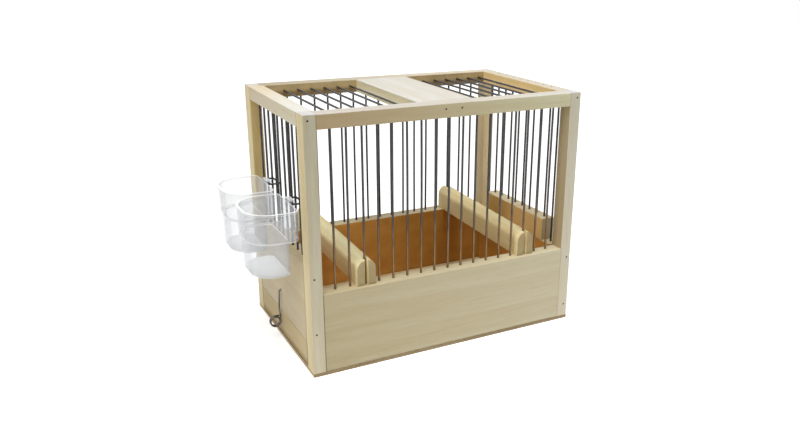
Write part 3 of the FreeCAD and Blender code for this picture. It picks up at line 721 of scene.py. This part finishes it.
def closed_grid(rings):
    """A shell from a grid of rings, shape (rows, columns, 3): points, quads, and a flat cap on each end."""
    rows, columns, _ = rings.shape
    first = np.arange(columns)
    return rings.reshape(-1, 3), grid_faces(rows, columns), [first[::-1], first + (rows - 1)*columns]


def join(shells):
    """Several shells as one, with the point numbers of each moved on by the points before it."""
    points, quads, caps = zip(*shells)
    starts = np.cumsum([0] + [len(part) for part in points[:-1]])
    moved_quads = [part + start for part, start in zip(quads, starts)]
    moved_caps = [cap + start for part, start in zip(caps, starts) for cap in part]
    return np.concatenate(points), np.concatenate(moved_quads), moved_caps


print("a grid of 3 rings with 4 points has", len(grid_faces(3, 4)), "quads")

# %% [markdown]
# ## From a surface to a piece
# A piece needs more than its points: smooth shading with crisp edges, a finish, the body that it moves with,
# and the CAD nodes that it stands for. Those nodes get the same finish. The volume is printed, because it is
# positive only when all faces point outwards.

# %% Piece maker


def volume(mesh):
    """The volume inside a mesh, positive when its faces point outwards: a sixth of the sum of a.(b x c)."""
    mesh.calc_loop_triangles()
    places = np.empty(3*len(mesh.vertices), dtype=np.float32)
    corners = np.empty(3*len(mesh.loop_triangles), dtype=np.int32)
    mesh.vertices.foreach_get("co", places)
    mesh.loop_triangles.foreach_get("vertices", corners)
    a, b, c = places.reshape(-1, 3)[corners.reshape(-1, 3)].astype(float).transpose(1, 0, 2)
    return np.einsum("ij,ij->i", a, np.cross(b, c)).sum()/6


def piece(name, shell, finish, slot, body, *replaced, smooth_angle=40):
    """Puts a shell into the scene as one object that moves with a body and stands for CAD nodes."""
    points, quads, caps = shell
    mesh = bpy.data.meshes.new(name)
    mesh.from_pydata(points.tolist(), [], quads.tolist() + [cap.tolist() for cap in caps])
    mesh.shade_smooth()
    mesh.set_sharp_from_angle(angle=math.radians(smooth_angle))
    mesh.materials.append(finish)
    item = bpy.data.objects.new(name, mesh)
    scene.collection.objects.link(item)
    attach(item, body)
    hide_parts(*replaced)
    for node in replaced:
        dress(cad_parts[node], finish)
    print("%s: %d faces, %.2f cm3" % (name, len(mesh.polygons), volume(mesh)*1e6))


def box_corners(node):
    """The low and high corners of a CAD node's box as arrays."""
    return [np.array(corner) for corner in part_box(node)]


x_axis, y_axis, z_axis = np.eye(3)

# %% [markdown]
# ## Bars and rods
# Each bar is a length of straightened wire, and no straightened wire is quite straight. A tube carries a ring
# along a path, and here the path bows sideways by a sine arch, a little differently for each bar. The bars of
# the door slide in holes, so they bow less. Places and thickness come from the box of the CAD node.

# %% Wire tubes
WIRE_SIDES = 12
CUT_BEVEL = 0.3


def tube(path, radius, reference):
    """A round wire: rings of a radius across the tangent of the path, turned to a reference axis that the
    path never follows. The end rings are smaller and set back by a bevel, as on wire cut with pliers."""
    tangent = np.gradient(path, axis=0)
    tangent /= np.linalg.norm(tangent, axis=1, keepdims=True)
    bevel = CUT_BEVEL*radius
    path = np.concatenate([path[:1], path[:1] + tangent[:1]*bevel, path[1:-1],
                           path[-1:] - tangent[-1:]*bevel, path[-1:]])
    tangent = np.concatenate([tangent[:1], tangent, tangent[-1:]])
    radii = np.full(len(path), radius)
    radii[[0, -1]] -= bevel
    across = np.cross(tangent, reference)
    across /= np.linalg.norm(across, axis=1, keepdims=True)
    over = np.cross(tangent, across)
    angle = np.linspace(0, 2*np.pi, WIRE_SIDES, endpoint=False)[None, :, None]
    rings = path[:, None] + radii[:, None, None]*(np.cos(angle)*across[:, None] + np.sin(angle)*over[:, None])
    return closed_grid(rings)


print("a wire has", WIRE_SIDES, "sides")

# %% Bars and rods
BAR_STEPS = 14
BARS = [
    # node, body, finish, count, axis along, axis of the spread, bow in mm
    ("front_bars", "frame", front_steel, 17, 2, 0, 0.35),
    ("rear_bars", "frame", bar_steel, 17, 2, 0, 0.35),
    ("left_bars", "frame", bar_steel, 10, 2, 1, 0.35),
    ("door_guide_front", "frame", bar_steel, 1, 2, 1, 0.2),
    ("door_guide_rear", "frame", bar_steel, 1, 2, 1, 0.2),
    ("door_bars", "door", bar_steel, 8, 2, 1, 0.1),
    ("top_rods_left", "frame", bar_steel, 7, 1, 0, 0.35),
    ("top_rods_right", "frame", bar_steel, 7, 1, 0, 0.35),
]


def bars(node, count, along, spread, bow, seed):
    """Straight wires spread evenly over a node's box, each bowed by a sine arch in its own direction."""
    low, high = box_corners(node)
    third = 3 - along - spread
    radius = (high[third] - low[third])/2
    chance = np.random.default_rng(seed)
    run = np.linspace(0, 1, BAR_STEPS)
    sine_arch = bow*np.sin(np.pi*run)
    shells = []
    for centre in np.linspace(low[spread] + radius, high[spread] - radius, count):
        path = np.empty((BAR_STEPS, 3))
        path[:, along] = low[along] + run*(high[along] - low[along])
        path[:, spread] = centre + sine_arch*chance.uniform(-1, 1)
        path[:, third] = (low[third] + high[third])/2 + sine_arch*chance.uniform(-1, 1)
        shells.append(tube(path, radius, np.eye(3)[spread]))
    return join(shells)


for seed, (node, body, finish, count, along, spread, bow) in enumerate(BARS):
    piece(node + "_wire", bars(node, count, along, spread, bow*MM, seed), finish, "steel_wire", body, node)

# %% [markdown]
# ## Cup hangers
# A hanger is a short wire bent round a pair of left bars, with its outer run in front for the hook of a cup.
# It lies flat, so its path is a polygon in a plane with a quarter circle at each bend.

# %% Hanger wires
HANGER_WIRE = 1.6*MM
HANGER_BEND = 2.0*MM
HANGER_END = 2.0*MM
BEND_STEPS = 9


def arc(centre, radius, start, end, first, second):
    """Points of a circle from angle start to end, measured from the first axis to the second."""
    angle = np.linspace(start, end, BEND_STEPS)[:, None]
    return centre + radius*(np.cos(angle)*first + np.sin(angle)*second)


def hanger(node):
    """The wire of a hanger, from its box: back end, side, front run, side and back end, with round bends."""
    low, high = box_corners(node)
    radius = HANGER_WIRE/2
    left, right = low[0] + radius, high[0] - radius
    front, rear = low[1] + radius, high[1] - radius
    middle = (front + rear)/2
    level = (low[2] + high[2])/2
    bend = HANGER_BEND
    turns = [(right - bend, front + bend, 2*np.pi, 1.5*np.pi), (left + bend, front + bend, 1.5*np.pi, np.pi),
             (left + bend, rear - bend, np.pi, 0.5*np.pi), (right - bend, rear - bend, 0.5*np.pi, 0)]
    path = [np.array([[right, middle - HANGER_END, level]])]
    path += [arc(np.array([x, y, level]), bend, start, end, x_axis, y_axis) for x, y, start, end in turns]
    path += [np.array([[right, middle + HANGER_END, level]])]
    return tube(np.concatenate(path), radius, z_axis)


for node in ("front_cup_hanger", "rear_cup_hanger"):
    piece(node + "_wire", hanger(node), bar_steel, "steel_wire", "frame", node)

# %% [markdown]
# ## Tray catch
# The catch is one spring wire: its tip goes into the left panel, an arm runs down to a coil of almost two
# turns, and a leg goes into the tray front. The coil is a helix. Its sideways advance starts and ends gently,
# so that the wire runs into the arm and the leg without a kink.

# %% Catch wire
CATCH_WIRE = 1.4*MM
CATCH_BEND = 2.0*MM
CATCH_BOW = 0.5*MM
TIP_SHORTER = 0.5*MM
TIP_STEPS = 4
ARM_STEPS = 18
LEG_STEPS = 6
COIL_RADIUS = 4.1*MM
COIL_QUARTERS = 7
QUARTER_STEPS = 12


def catch_path():
    """Tip, bend, arm, helix and leg as one path. The arm bows out by a sine arch. On the helix the angle
    grows evenly, and the advance is the running sum of a rate that swells over the first quarter turn and
    fades over the last."""
    low, high = box_corners("tray_catch")
    radius = CATCH_WIRE/2
    tip_height = high[2] - radius
    arm_x = low[0] + radius + 2*COIL_RADIUS
    arm_y = low[1] + radius
    bend_centre = np.array([arm_x + CATCH_BEND, arm_y, tip_height - CATCH_BEND])
    tip_end = np.array([high[0] - TIP_SHORTER, arm_y, tip_height])
    tip = np.linspace(tip_end, bend_centre + z_axis*CATCH_BEND, TIP_STEPS)[:-1]
    bend = arc(bend_centre, CATCH_BEND, 0.5*np.pi, np.pi, x_axis, z_axis)
    coil_centre = np.array([arm_x - COIL_RADIUS, arm_y, low[2] + radius + COIL_RADIUS])
    arm = np.linspace(bend[-1], coil_centre + x_axis*COIL_RADIUS, ARM_STEPS)
    arm[:, 0] -= CATCH_BOW*np.sin(np.linspace(0, np.pi, ARM_STEPS))**2
    angle = np.linspace(0, COIL_QUARTERS*np.pi/2, COIL_QUARTERS*QUARTER_STEPS + 1)
    rate = np.clip(np.minimum(angle, angle[-1] - angle)/(np.pi/2), 0, 1)
    advance = np.cumsum(rate)/rate.sum()*(high[1] - low[1] - 2*radius)
    coil = (coil_centre + COIL_RADIUS*(np.cos(angle)[:, None]*x_axis - np.sin(angle)[:, None]*z_axis)
            + advance[:, None]*y_axis)
    leg = np.linspace(coil[-1], [high[0], coil[-1, 1], coil[-1, 2]], LEG_STEPS)[1:]
    return np.concatenate([tip, bend, arm[1:-1], coil, leg])


piece("catch_spring_wire", tube(catch_path(), CATCH_WIRE/2, y_axis), spring_steel,
      "steel_wire", "catch", "tray_catch")

# %% [markdown]
# ## Nails
# The frame is nailed through its posts and rails. Each head is driven just under the surface, so it shows as
# a dark dished dot. A nail is a profile turned round its axis: a dish, a rim and a long shank.

# %% Nails
NAIL_LENGTH = 24*MM
NAIL_RADIUS = 0.8*MM
NAIL_SINK = 0.3*MM
NAIL_SIDES = 16
NAIL_SIDE_INSET = 3.6*MM
NAIL_RAIL_DROP = 4.2*MM
NAIL_BOARD_OFFSET = 7*MM
NAIL_PANEL_HEIGHTS = (11*MM, 56.5*MM)


def nail_places(half_length):
    """Places of the heads in the front: two on the roof board, and three on each post at its side pieces."""
    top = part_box("front_top_rail")[1][2] - NAIL_RAIL_DROP
    places = [(-NAIL_BOARD_OFFSET, top), (NAIL_BOARD_OFFSET, top)]
    for side, panel in ((-1, "left_panel"), (1, "right_panel")):
        x = side*(half_length - NAIL_SIDE_INSET)
        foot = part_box(panel)[0][2]
        places += [(x, top)] + [(x, foot + height) for height in NAIL_PANEL_HEIGHTS]
    return places


def nail(x, z, surface, inward):
    """A turned profile: radius and depth from the dished head to the tip, swept round an axis along Y."""
    radius = NAIL_RADIUS*np.array([0.2, 0.55, 0.85, 1.0, 1.0, 0.1])
    depth = np.array([NAIL_SINK, 0.9*NAIL_SINK, 0.55*NAIL_SINK, 0.25*NAIL_SINK,
                      0.92*NAIL_LENGTH, NAIL_LENGTH])
    angle = -inward*np.linspace(0, 2*np.pi, NAIL_SIDES, endpoint=False)
    rings = np.empty((len(radius), NAIL_SIDES, 3))
    rings[..., 0] = x + radius[:, None]*np.cos(angle)
    rings[..., 1] = surface + inward*depth[:, None]
    rings[..., 2] = z + radius[:, None]*np.sin(angle)
    return closed_grid(rings)


floor_low, floor_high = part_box("floor_sheet")
nail_shells = [nail(x, z, surface, inward) for x, z in nail_places(floor_high[0])
               for surface, inward in ((floor_low[1], 1), (floor_high[1], -1))]
piece("driven_nails", join(nail_shells), nail_steel, "steel_wire", "frame", "frame_nails")

# %% [markdown]
# ## Perches
# A perch is an arched stick with a slot in each end that straddles a bar. The arch is carried along the
# stick, and the two prongs beside a slot are the same arch cut off at the slot. The tips are eased. The rear
# panel is a little higher than the front panel, so a turn about X lays the stick on both.

# %% Arched sticks
PERCH_EASE = 0.5*MM
ARCH_STEPS = 25


def arch(left, right, half, spring):
    """The part of an arch between two upright lines: a flat foot, and points of a half circle over it."""
    angle = np.linspace(math.acos(right/half), math.acos(left/half), ARCH_STEPS)
    crown = np.stack([half*np.cos(angle), spring + half*np.sin(angle)], axis=1)
    return np.concatenate([[[left, 0], [right, 0]], crown])


def carried(outline, start, end, ease_end):
    """An outline in X and Z carried along Y from start to end; the last ring is drawn in by the ease."""
    middle = outline.mean(axis=0)
    spread = np.linalg.norm(outline - middle, axis=1).max()
    shrink = 1 - PERCH_EASE/spread if ease_end else 1.0
    toward = np.sign(end - start)
    stops = np.array([start, end - toward*(PERCH_EASE if ease_end else 0.5*abs(end - start)), end])
    sizes = np.array([1.0, 1.0, shrink])
    flat = middle + (outline - middle)*sizes[:, None, None]
    rings = np.stack([flat[..., 0], np.broadcast_to(stops[:, None], flat.shape[:2]), flat[..., 1]], axis=-1)
    return closed_grid(rings if toward < 0 else rings[:, ::-1])


print("an arch has", ARCH_STEPS, "points over its foot")

# %% Perches
PERCH_LENGTH = 144*MM
PERCH_HEIGHT = 21*MM
SLOT_HALF = 1.2*MM
SLOT_DEPTH = 5.75*MM
PERCHES = [
    # node, tone of its crown at the front and rear ends, painted darker against the light from above, and
    # tone of its sides, painted paler for the light that reaches them inside the cage
    ("left_perch", (222, 211, 169), (222, 212, 171), (255, 242, 194)),
    ("right_perch", (227, 212, 167), (225, 211, 167), (252, 236, 186)),
]


def perch(node):
    """The stick between the slots, and two prongs at each end, turned by the slope between the panels."""
    low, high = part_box(node)
    half = (high[0] - low[0])/2
    spring = PERCH_HEIGHT - half
    tip = PERCH_LENGTH/2
    inner = tip - SLOT_DEPTH
    shells = [carried(arch(-half, half, half, spring), inner, -inner, False)]
    for end in (-1, 1):
        for left, right in ((-half, -SLOT_HALF), (SLOT_HALF, half)):
            shells.append(carried(arch(left, right, half, spring), end*inner, end*tip, True))
    points, quads, caps = join(shells)
    front_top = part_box("front_panel")[1][2]
    rear_low, rear_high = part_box("rear_panel")
    slope = (rear_high[2] - front_top)/(rear_low[1] + tip)
    turn = np.array(Matrix.Rotation(math.atan(slope), 3, "X"))
    return points @ turn.T + [low[0] + half, 0, front_top + slope*tip], quads, caps


for node, near, far, sides in PERCHES:
    piece(node + "_stick", perch(node), wood(node, "y", near, far, lit_side_tone=sides), "light_wood", node, node)

# %% [markdown]
# ## Clear plastic
# The cups are moulded in clear plastic that has gone a little dull. True glass would bend the light, but a
# wall this thin hardly does, so the finish is a milky one with a low alpha: it shows what hangs behind it and
# keeps the cups visible in front of white. Where the eye meets more plastic, at the rounded edges, on the rim
# and the bottom and along the step, there is more milk. The level faces and the step line are also painted
# near white, for thicker plastic there and as a painted highlight of the light from above, and a glancing
# view is painted a darker grey, a painted refraction of the dark things around.

# %% Plastic finish
CUP_STEP_HEIGHT = 27*MM
STEP_LINE_RISE = 0.5*MM
STEP_LINE_FADE = 0.4*MM, 1.1*MM
STEP_CLEAR_FADE = 4*MM, 6*MM
LEVEL_FADE = 0.4, 0.9
WEAR_SCALE = 90
WEAR_ROUGHNESS = 0.05
PLASTIC_ROUGHNESS = 0.08
PLASTIC_GLOSS = 1.46
PLASTIC_DULL = rgb(222, 226, 230), rgb(231, 234, 237)
# painted highlight and thicker plastic: near white for the level faces and the step line
PLASTIC_HIGHLIGHT_MILK = rgb(240, 242, 243)
# painted refraction: a darker grey where the view glances
PLASTIC_GLANCE_REFRACTION = rgb(180, 184, 190)
WALL_MILK = 0.16
LEVEL_MILK = 0.46
STEP_MILK = 0.45
EDGE_MILK = 0.5


def clear_plastic(name):
    """Clear plastic that lets most light straight through. Its alpha is a sum: a little everywhere, more on
    level faces away from the step, on the line of the step, and with the third power of a glancing view. Its
    colour is painted near white on the level faces and the step line, a painted highlight, and darker grey at
    a glancing view, a painted refraction."""
    material, shader, place, normal = new_material("plastic_" + name, IOR=PLASTIC_GLOSS)
    wear = place.noise(WEAR_SCALE, detail=3)
    level = abs(normal.parts()[2]).rise(*LEVEL_FADE)
    from_step = abs(place.parts()[2] - (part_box(name)[0][2] + CUP_STEP_HEIGHT + STEP_LINE_RISE))
    bright = level*from_step.rise(*STEP_CLEAR_FADE)
    line = (1 - from_step.rise(*STEP_LINE_FADE))*(1 - level)
    glance = place.add("ShaderNodeLayerWeight", {"Blend": 0.5}, out="Facing")
    edge = glance*glance*glance
    # painted refraction: glancing views go darker grey
    colour = edge.tint(wear.tint(*PLASTIC_DULL), PLASTIC_GLANCE_REFRACTION)
    # painted highlight: level faces and the step line go near white
    colour = bright.most(line).tint(colour, PLASTIC_HIGHLIGHT_MILK)
    milk = bright*LEVEL_MILK + line*STEP_MILK + edge*EDGE_MILK + WALL_MILK
    feed(shader, Base_Color=colour, Roughness=wear*WEAR_ROUGHNESS + PLASTIC_ROUGHNESS, Alpha=milk)
    return material


print("a plain wall of a cup lets %.0f percent of the light through" % (100*(1 - WALL_MILK)))

# %% [markdown]
# ## Cup walls
# Each cup is a rounded box with a flat back, stepped in halfway down, with a rim and a hook that hangs on the
# wire. Its wall is a profile that goes up the outside, over the rim and down the inside. Every profile point
# says how high it is and how far the rounded outline is drawn in there, so one formula gives the whole shell.

# %% Cup walls
CUP_HEIGHT = 51*MM
CUP_WALL = 1.2*MM
CUP_RIM = 1.5*MM
CUP_STEP = 1.5*MM
CUP_BACK_STEP = 6.5*MM
CUP_DRAFT = 0.2*MM
CUP_FRONT_CORNER = 21*MM
CUP_BACK_CORNER = 5*MM
CUP_BASE_CORNER = 6*MM
CUP_BASE_ROUND = 1.5*MM
CUP_BASE_INSET = 4.5*MM
CORNER_STEPS = 9
ROUND_STEPS = 6


def rounded(points, cuts, closed=False):
    """A polyline with round corners. Each corner becomes a circular arc, written as a rational curve that
    starts and ends a cut length from the corner and is weighed by the cosine of half the turn."""
    before, after = np.roll(points, 1, axis=0), np.roll(points, -1, axis=0)
    back = before - points
    ahead = after - points
    back_length = np.linalg.norm(back[:, :2], axis=1, keepdims=True)
    ahead_length = np.linalg.norm(ahead[:, :2], axis=1, keepdims=True)
    start = points + back*np.array(cuts)[:, None]/back_length
    end = points + ahead*np.array(cuts)[:, None]/ahead_length
    straight = -np.einsum("ij,ij->i", back[:, :2]/back_length, ahead[:, :2]/ahead_length)
    weight = np.sqrt((1 + straight)/2)[:, None, None]
    t = np.linspace(0, 1, ROUND_STEPS)[None, :, None]
    parts = (1 - t)**2, 2*weight*t*(1 - t), t**2
    curves = (parts[0]*start[:, None] + parts[1]*points[:, None] + parts[2]*end[:, None])/sum(parts)
    if closed:
        return curves.reshape(-1, points.shape[1])
    return np.concatenate([points[:1], curves[1:-1].reshape(-1, points.shape[1]), points[-1:]])


def cup_profile():
    """Rows of height, inset of the front and sides, inset of the back, and radius of the back corners, from
    the bottom's outside up to the rim and down to the bottom's inside. The cuts round each row's corner."""
    upper, ledge = CUP_RIM, CUP_RIM + CUP_DRAFT
    lower, bottom = ledge + CUP_STEP, ledge + CUP_STEP + CUP_DRAFT
    back, base_back = CUP_BACK_STEP, CUP_BACK_STEP + CUP_DRAFT
    corner, base = CUP_BACK_CORNER, CUP_BASE_CORNER
    wall, flat = CUP_WALL, CUP_BASE_INSET
    inner_step = CUP_STEP_HEIGHT + wall
    outer_round, inner_round = CUP_BASE_ROUND + wall, CUP_BASE_ROUND
    rows = np.array([
        [0, bottom + flat, base_back + flat, base - flat], [0, bottom, base_back, base],
        [CUP_STEP_HEIGHT, lower, back, base], [CUP_STEP_HEIGHT, ledge, 0, corner],
        [CUP_HEIGHT - CUP_RIM, upper, 0, corner], [CUP_HEIGHT - CUP_RIM, 0, 0, corner],
        [CUP_HEIGHT, 0, 0, corner], [CUP_HEIGHT, upper + wall, wall, corner - wall],
        [inner_step, ledge + wall, wall, corner - wall], [inner_step, lower + wall, back + wall, base - wall],
        [wall, bottom + wall, base_back + wall, base - wall],
        [wall, bottom + wall + flat, base_back + wall + flat, base - wall - flat]])
    cuts = np.array([0, outer_round, 0.5*MM, 0.7*MM, 0.3*MM, 0.5*MM,
                     0.5*MM, 0.6*MM, 0.7*MM, 0.5*MM, inner_round, 0])
    return rounded(rows, cuts)


def cup_rings(depth, half_width):
    """The rounded outline at each profile row: four quarter circles, whose centres follow the insets."""
    height, inset, back, back_corner = (column[:, None] for column in cup_profile().T)
    quarter = np.linspace(0, np.pi/2, CORNER_STEPS)
    angle = np.concatenate([quarter + start for start in (np.pi, 1.5*np.pi, 0, 0.5*np.pi)])
    at_front = np.repeat([True, False, False, True], CORNER_STEPS)
    side = np.repeat([-1, -1, 1, 1], CORNER_STEPS)
    radius = np.where(at_front, CUP_FRONT_CORNER - inset, back_corner)
    centre_x = np.where(at_front, -depth + inset + radius, -back - radius)
    centre_y = side*(half_width - inset - radius)
    return np.stack([centre_x + radius*np.cos(angle), centre_y + radius*np.sin(angle),
                     np.broadcast_to(height, radius.shape)], axis=-1)


print("a cup's wall has", len(cup_profile()), "rings of", 4*CORNER_STEPS, "points")

# %% [markdown]
# ## Hooks, and the whole cups
# The hook is a strip bent over the hanger wire, moulded in one with the back of the cup. It is an outline
# with round corners carried sideways. Wall and hook are joined and set where the CAD cup hangs.

# %% Cups with their hooks
HOOK_HALF = 6*MM
HOOK_RISE = 2.6*MM
HOOK_THICKNESS = 1.2*MM
HOOK_DROP = 4*MM
HOOK_REACH = 3.4*MM
HOOK_SINK = 0.1*MM
HOOK_CUTS = [0.05*MM]*2 + [0.2*MM]*2 + [0.3*MM]*2 + [0.9*MM]*2
CUP_SMOOTH_ANGLE = 50


def hook():
    """The hook: a bent strip in X and Z with round corners, carried along Y."""
    top = CUP_HEIGHT + HOOK_RISE
    under = top - HOOK_THICKNESS
    foot = CUP_HEIGHT - HOOK_SINK
    inner = HOOK_REACH - HOOK_THICKNESS
    outline = np.array([[-CUP_WALL, foot], [0, foot], [0, under], [inner, under], [inner, top - HOOK_DROP],
                        [HOOK_REACH, top - HOOK_DROP], [HOOK_REACH, top], [-CUP_WALL, top]])
    outline = rounded(outline, HOOK_CUTS, closed=True)
    along = np.array([HOOK_HALF, HOOK_HALF/3, -HOOK_HALF/3, -HOOK_HALF])
    size = (len(along), len(outline))
    return closed_grid(np.stack([np.broadcast_to(outline[:, 0], size), np.broadcast_to(along[:, None], size),
                                 np.broadcast_to(outline[:, 1], size)], axis=-1))


for node in ("front_cup", "rear_cup"):
    low, high = box_corners(node)
    back_plane = high[0] - HOOK_REACH
    points, quads, caps = join([closed_grid(cup_rings(back_plane - low[0], (high[1] - low[1])/2)), hook()])
    seat = [back_plane, (low[1] + high[1])/2, low[2]]
    piece(node + "_shell", (points + seat, quads, caps), clear_plastic(node), "clear_plastic", node, node,
          smooth_angle=CUP_SMOOTH_ANGLE)
